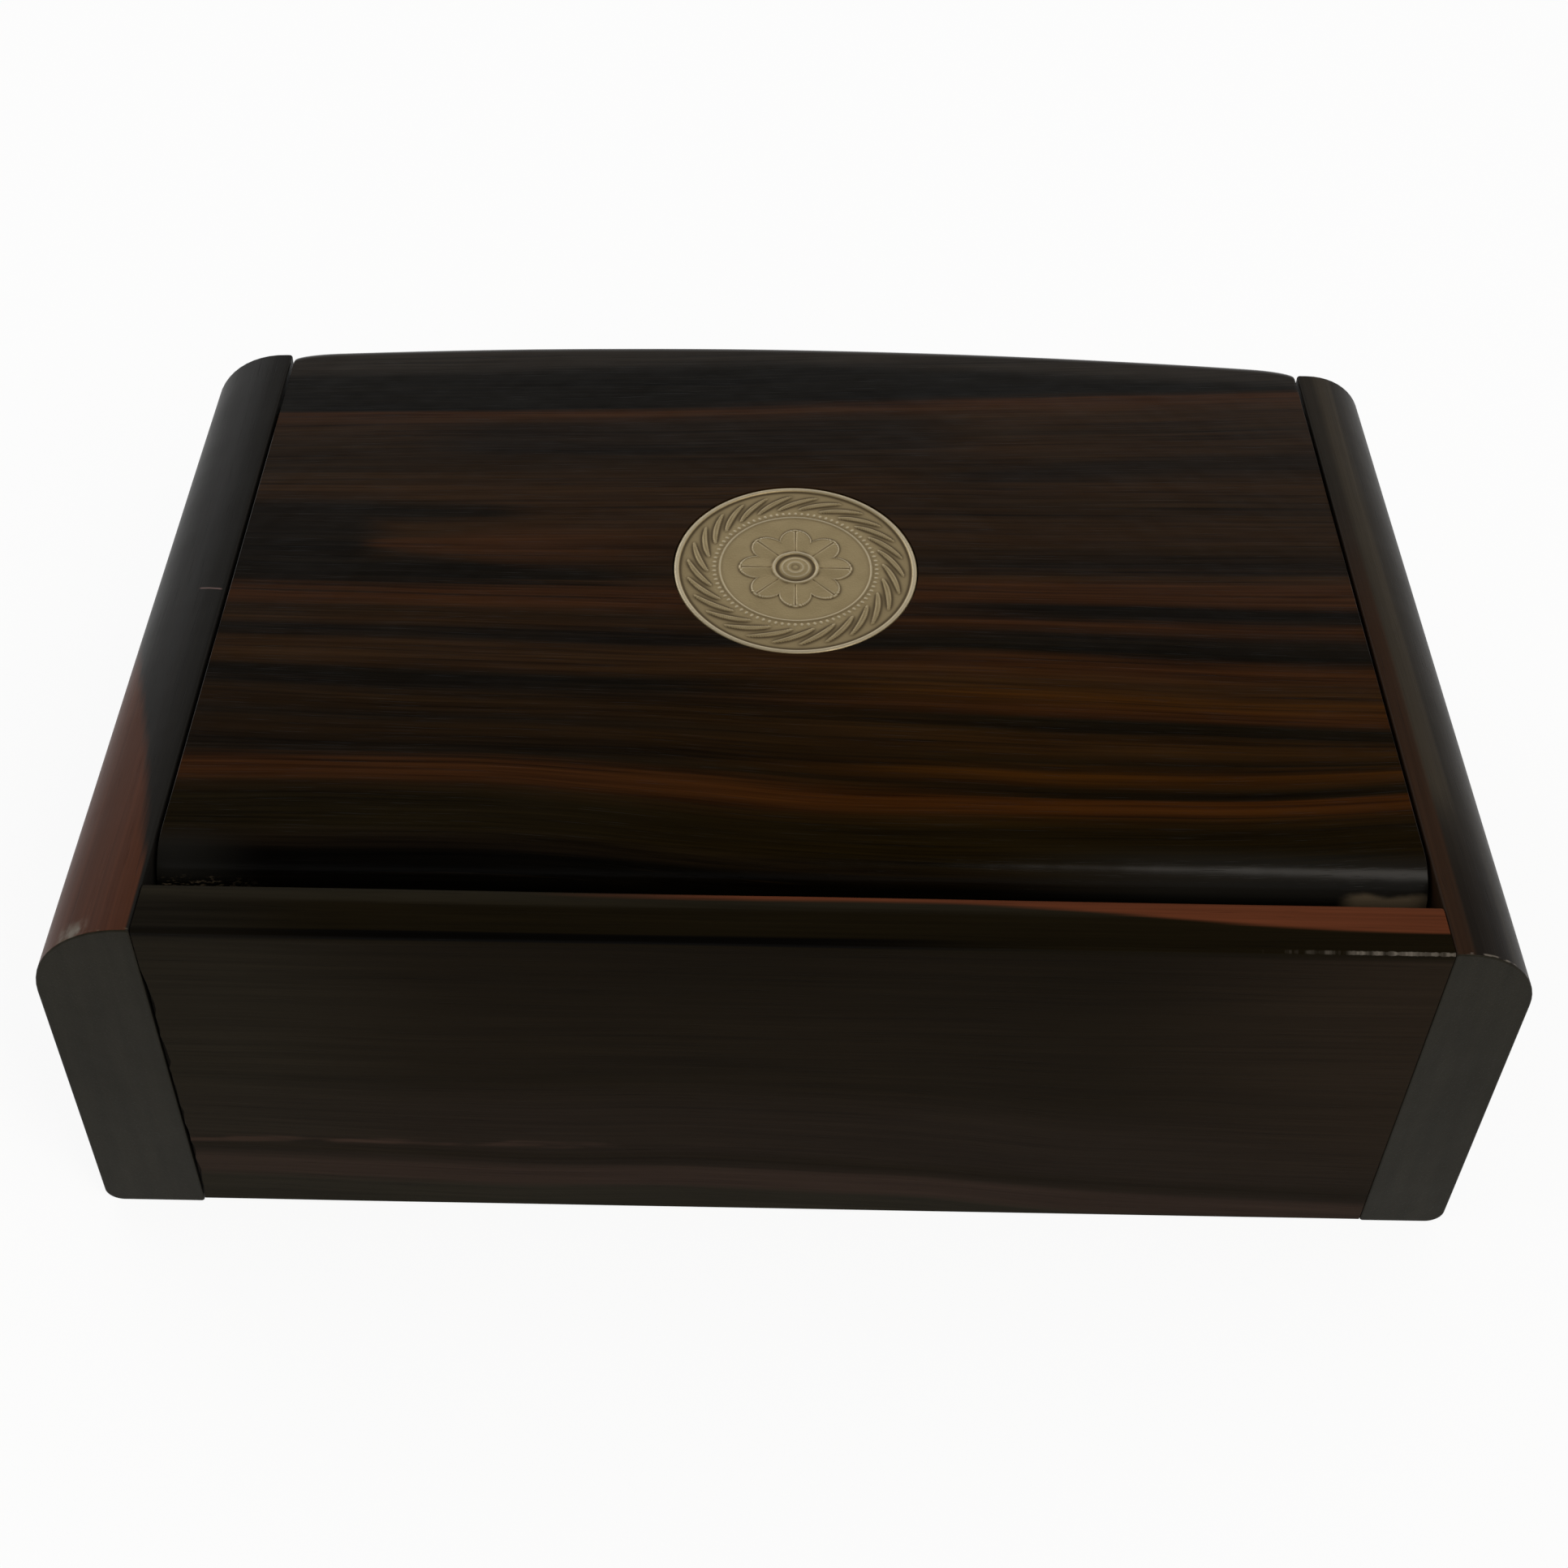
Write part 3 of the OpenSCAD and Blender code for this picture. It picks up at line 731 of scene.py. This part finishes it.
def build_lid(material):
    """Lid lofted along X: half-round rear edge, flat top, bowed and rounded lip."""
    low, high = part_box("lid")
    half_t = (high.z - low.z) / 2
    middle_x = (low.x + high.x) / 2
    nose = (low.y + half_t, low.z + half_t)
    reach = (high.x - low.x) / 2 + LIP_BOW_SHIFT
    bow_r = (reach ** 2 + LIP_BOW ** 2) / (2 * LIP_BOW)
    rings = []
    sides = [LIP_CORNER[0] * (1 - math.cos(math.radians(a))) for a in range(0, 90, 10)]
    places = [low.x + d for d in sides]
    places += np.linspace(low.x + LIP_CORNER[0], high.x - LIP_CORNER[0],
                          LID_RINGS).tolist()
    places += [high.x - d for d in reversed(sides)]
    for x in places:
        away = x - middle_x - LIP_BOW_SHIFT
        lip_y = high.y - bow_r + math.sqrt(bow_r ** 2 - away ** 2)
        from_side = min(x - low.x, high.x - x)
        into_corner = max(0.0, 1 - from_side / LIP_CORNER[0])
        lip_y -= LIP_CORNER[1] * (1 - math.sqrt(1 - into_corner ** 2))
        top_start, top_end = nose[0], lip_y - LIP_TOP_R
        foot_start, foot_end = lip_y - LIP_FOOT_R, nose[0]
        ring = list(arc(nose, half_t, 270, 90, NOSE_STEPS))
        ring += [(top_start + (top_end - top_start) * k / FLAT_STEPS, high.z)
                 for k in range(1, FLAT_STEPS)]
        ring += arc((top_end, high.z - LIP_TOP_R), LIP_TOP_R, 90, 0, LIP_TOP_STEPS)
        ring += arc((foot_start, low.z + LIP_FOOT_R), LIP_FOOT_R, 0, -90, LIP_FOOT_STEPS)
        ring += [(foot_start + (foot_end - foot_start) * k / FLAT_STEPS, low.z)
                 for k in range(1, FLAT_STEPS)]
        rings.append([(x, y, z) for y, z in ring])
    piece = loft("lid_board", rings, LID_EASE)
    hand_work(piece, 11.0)
    coin_low, coin_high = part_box("coin")
    seat = (coin_low + coin_high) / 2
    seat.z = coin_low.z + half_t
    coin_r = (coin_high.x - coin_low.x) / 2
    cutters = [cylinder("seat", seat, coin_r + COIN_FIT, 2 * half_t, (0, 0, 1),
                         SEAT_SEGMENTS)]
    for side in ("left", "right"):
        pin_low, pin_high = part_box("hinge_pin_" + side)
        cutters.append(cylinder("bore_" + side, (pin_low + pin_high) / 2,
                                (pin_high.z - pin_low.z) / 2 + PIN_FIT,
                                pin_high.x - pin_low.x + 2 * BORE_PLAY, (1, 0, 0),
                                PIN_SEGMENTS))
    cut(piece, cutters)
    place(piece, "lid", "lid", material)


# ---------------------------------------------------------------- coin
RIM_W = 0.55      # all in millimetres on the coin
BAND_OUT = 13.0   # outer radius of the wreath
BAND_IN = 10.4    # inner radius of the wreath
LEAVES = 26
ROSETTE_R = 6.6
BOSS_R = 2.6
RELIEF = 0.20
SPOKES, CIRCLES = 640, 118   # vertices around the face and from its middle to its rim
CROWDING = 0.92   # power that sets the circles closer together towards the rim
BEADS, BEADS_R = 80, 9.7
CIRCLE_R = 9.05
PETALS = 8
FOOT_EASE = 0.15  # eased edge of the underside
SOFTENING = 7     # rounds of blurring that tell hollows from what stands out


def step(value, low, high):
    """Smooth step for arrays."""
    s = np.clip((value - low) / (high - low), 0, 1)
    return s * s * (3 - 2 * s)


def leaf_height(r, angle, count, middle_r, length, width, lean):
    """Height of a ring of pointed leaves, from 0 to 1."""
    turn = 2 * math.pi / count
    phase = (angle + lean * (r - middle_r)) % turn - turn / 2
    across = phase * r
    along = (r - middle_r) / (length / 2)
    half = width / 2 * np.sqrt(np.clip(1 - along ** 2, 0, 1))
    body = step(half - np.abs(across), 0, 0.22)
    vein = 1 - 0.45 * step(0.12 - np.abs(across), 0, 0.08)
    return body * vein


def coin_height(r, angle, radius):
    """Relief of the coin's face above its field, in millimetres."""
    rim = step(r, radius - RIM_W - 0.12, radius - RIM_W + 0.08)
    rim *= 1 - 0.55 * step(r, radius - 0.22, radius)
    leaves = leaf_height(r, angle, LEAVES, (BAND_OUT + BAND_IN) / 2, BAND_OUT - BAND_IN,
                         1.5, 0.16)
    beads = leaf_height(r, angle + math.pi / BEADS, BEADS, BEADS_R, 0.55, 0.5, 0)
    circle = step(0.13 - np.abs(r - CIRCLE_R), 0, 0.1)
    lobes = ROSETTE_R * (0.72 + 0.28 * np.abs(np.cos(PETALS / 2 * angle)) ** 0.7)
    flower = step(lobes - r, 0, 0.22) * (0.55 + 0.2 * np.cos(PETALS * angle))
    half_petal = math.pi / PETALS
    groove = step(0.16 - np.abs(r * np.sin((angle + half_petal) % (2 * half_petal)
                                           - half_petal)), 0, 0.1)
    flower = flower * (1 - 0.6 * groove * step(r, BOSS_R, BOSS_R + 0.5))
    edge = step(0.16 - np.abs(r - lobes), 0, 0.1) * 0.9
    boss_ring = step(0.22 - np.abs(r - BOSS_R), 0, 0.12)
    boss = step(BOSS_R - 0.5 - r, 0, 0.7) * (0.7 + 0.3 * np.cos(r * 3.5) ** 2)
    inner = np.where(r < BOSS_R, np.maximum(boss_ring, boss), flower)
    face = np.maximum.reduce([0.62 * leaves, 0.5 * beads, 0.45 * circle, 0.7 * inner,
                              0.7 * edge, 0.85 * boss_ring, rim])
    return RELIEF * face


def build_coin(material):
    """Coin with its struck face as real relief."""
    low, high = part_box("coin")
    radius = (high.x - low.x) / 2 / MM
    centre = (low + high) / 2
    thick = (high.z - low.z) / MM
    angle = np.arange(SPOKES) * 2 * math.pi / SPOKES
    radii = radius * (np.arange(1, CIRCLES + 1) / CIRCLES) ** CROWDING
    grid_r, grid_a = np.meshgrid(radii, angle, indexing="ij")
    height = coin_height(grid_r, grid_a, radius)
    smooth = height.copy()
    for _ in range(SOFTENING):
        smooth = (smooth + np.roll(smooth, 1, 1) + np.roll(smooth, -1, 1)) / 3
        smooth[1:-1] = (smooth[:-2] + smooth[1:-1] + smooth[2:]) / 3
    hollow = np.clip(0.30 + (smooth - height) / RELIEF * 2.4, 0, 1)
    hollow[height > 0.9 * RELIEF] *= 0.2
    in_wreath = step(radii, BAND_IN - 0.5, BAND_IN + 0.5) * step(radius - RIM_W - radii, 0, 0.3)
    hollow = np.clip(hollow + 0.14 * in_wreath[:, None], 0, 1)

    mesh = bmesh.new()
    layer = mesh.verts.layers.float.new("hollow")

    def vertex(r, a, z, value):
        made = mesh.verts.new((centre.x + r * math.cos(a) * MM,
                               centre.y + r * math.sin(a) * MM, low.z + z * MM))
        made[layer] = value
        return made

    field = thick - RELIEF
    middle_h = float(coin_height(np.array([0.0]), np.array([0.0]), radius)[0])
    middle = vertex(0, 0, field + middle_h, 0.3)
    rings = [[vertex(r, a, field + height[i, j], float(hollow[i, j]))
              for j, a in enumerate(angle)] for i, r in enumerate(radii)]
    rings.append([vertex(radius, a, FOOT_EASE, 0.8) for a in angle])
    rings.append([vertex(radius - FOOT_EASE, a, 0, 0.8) for a in angle])
    for j in range(SPOKES):
        mesh.faces.new((middle, rings[0][j], rings[0][(j + 1) % SPOKES]))
    for inner, outer in zip(rings, rings[1:]):
        for j in range(SPOKES):
            k = (j + 1) % SPOKES
            mesh.faces.new((inner[j], outer[j], outer[k], inner[k]))
    mesh.faces.new(rings[-1][::-1])
    bmesh.ops.recalc_face_normals(mesh, faces=mesh.faces)
    piece = finish_mesh("coin_struck", mesh)
    piece.data.materials.append(material)
    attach(piece, "lid")
    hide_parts("coin")


# ---------------------------------------------------------------- stage
def build_floor():
    """Pale floor that stays white to the camera but keeps the box's soft shadow."""
    t = Tree("floor")
    diffuse = t.add("ShaderNodeBsdfDiffuse", {"Color": FLOOR_COLOUR})
    white = t.add("ShaderNodeEmission", {"Color": WHITE, "Strength": 1.0})
    blend = t.add("ShaderNodeMixShader", {0: t.seen() * FLOOR_WHITE,
                                          1: Field(t, diffuse.outputs[0]),
                                          2: Field(t, white.outputs[0])})
    t.add("ShaderNodeOutputMaterial", {0: Field(t, blend.outputs[0])})
    mesh = bmesh.new()
    bmesh.ops.create_grid(mesh, x_segments=1, y_segments=1, size=FLOOR_HALF)
    floor = finish_mesh("floor", mesh)
    floor.data.materials.append(t.owner)


def build_world():
    """Even light from all round, in front of a white backdrop.

    Reflections see the backdrop fade to dark overhead and, less, behind the camera.
    """
    t = Tree("studio", "worlds")
    bpy.context.scene.world = t.owner
    where = t.add("ShaderNodeTexCoord").outputs["Generated"]
    split = t.add("ShaderNodeSeparateXYZ", {0: Field(t, where)})
    across, height = Field(t, split.outputs["Y"]), Field(t, split.outputs["Z"])
    low, high = (math.sin(math.radians(a)) for a in (FADE_FROM, FADE_TO))
    side = DARK_SIDE + (BRIGHT_SIDE - DARK_SIDE) * t.rise(across, -0.5, 0.2)
    glow = (1 - t.rise(height, low, high) * FADE) * side
    path = t.add("ShaderNodeLightPath")
    backdrop = t.add("ShaderNodeBackground",
                     {"Color": WHITE, "Strength": glow | Field(t, path.outputs["Is Camera Ray"])})
    light = t.add("ShaderNodeBackground", {"Color": WHITE, "Strength": SOFT_LIGHT})
    blend = t.add("ShaderNodeMixShader", {0: t.seen(), 1: Field(t, light.outputs[0]),
                                          2: Field(t, backdrop.outputs[0])})
    t.add("ShaderNodeOutputWorld", {0: Field(t, blend.outputs[0])})


def area_light(name, at, size, power, tint):
    lamp = bpy.data.lights.new(name, "AREA")
    lamp.shape = "RECTANGLE"
    lamp.size, lamp.size_y = size
    lamp.energy = power
    lamp.color = tint
    holder = bpy.data.objects.new(name, lamp)
    holder.location = at
    aim = Vector(LAMPS_AIM) - Vector(at)
    holder.rotation_euler = aim.to_track_quat("-Z", "Y").to_euler()
    bpy.context.scene.collection.objects.link(holder)


def build_camera():
    data = bpy.data.cameras.new("camera")
    data.sensor_width = CAMERA_SENSOR
    data.lens = CAMERA_LENS
    data.shift_y = CAMERA_SHIFT_Y
    data.clip_start, data.clip_end = CAMERA_CLIP
    camera = bpy.data.objects.new("camera", data)
    camera.location = CAMERA_AT
    camera.rotation_euler = Euler([math.radians(a) for a in CAMERA_TURN], "XYZ")
    bpy.context.scene.collection.objects.link(camera)
    bpy.context.scene.camera = camera


# ---------------------------------------------------------------- the scene
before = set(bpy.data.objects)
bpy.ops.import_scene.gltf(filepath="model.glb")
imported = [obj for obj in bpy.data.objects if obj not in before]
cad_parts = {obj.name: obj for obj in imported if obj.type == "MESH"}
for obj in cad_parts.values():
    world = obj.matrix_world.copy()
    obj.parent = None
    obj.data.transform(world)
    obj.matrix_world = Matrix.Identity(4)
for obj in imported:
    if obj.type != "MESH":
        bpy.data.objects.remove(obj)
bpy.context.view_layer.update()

left_low, left_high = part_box("left_end")
right_low, right_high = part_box("right_end")
LAYOUT = {
    "middle_x": (left_high.x + right_low.x) / 2 / MM,
    "left_x": left_low.x / MM,
    "right_x": right_high.x / MM,
    "rear_y": left_low.y / MM,
    "front_y": left_high.y / MM,
    "depth": (left_high.y - left_low.y) / MM,
    "top_z": left_high.z / MM,
}

scene = bpy.context.scene
scene.view_settings.view_transform = "Standard"
build_camera()
build_world()
build_floor()
for lamp in LAMPS:
    area_light(*lamp)

build_end("left", end_wood(LAYOUT, "left"))
build_end("right", end_wood(LAYOUT, "right"))
board = board_wood(LAYOUT)
build_board("rear_board", (ARRIS_R, ARRIS_R, REAR_EASE_R, ARRIS_R), True, board, 17.0)
build_board("front_board", (ARRIS_R, ARRIS_R, ARRIS_R, ARRIS_R), False, board, 23.0)
build_lid(lid_wood(LAYOUT))
build_coin(coin_metal())

bare_bottom = plain_wood("bare_bottom", BOTTOM_DARK, BOTTOM_LIGHT, 0.62)
bare_dowel = plain_wood("bare_dowel", DOWEL_DARK, DOWEL_LIGHT, 0.6)
brass = pin_brass()
for node, material in {"bottom_board": bare_bottom, "rear_dowels": bare_dowel,
                       "front_dowels": bare_dowel, "hinge_pin_left": brass,
                       "hinge_pin_right": brass}.items():
    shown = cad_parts[node]
    shown.data.materials.clear()
    shown.data.materials.append(material)
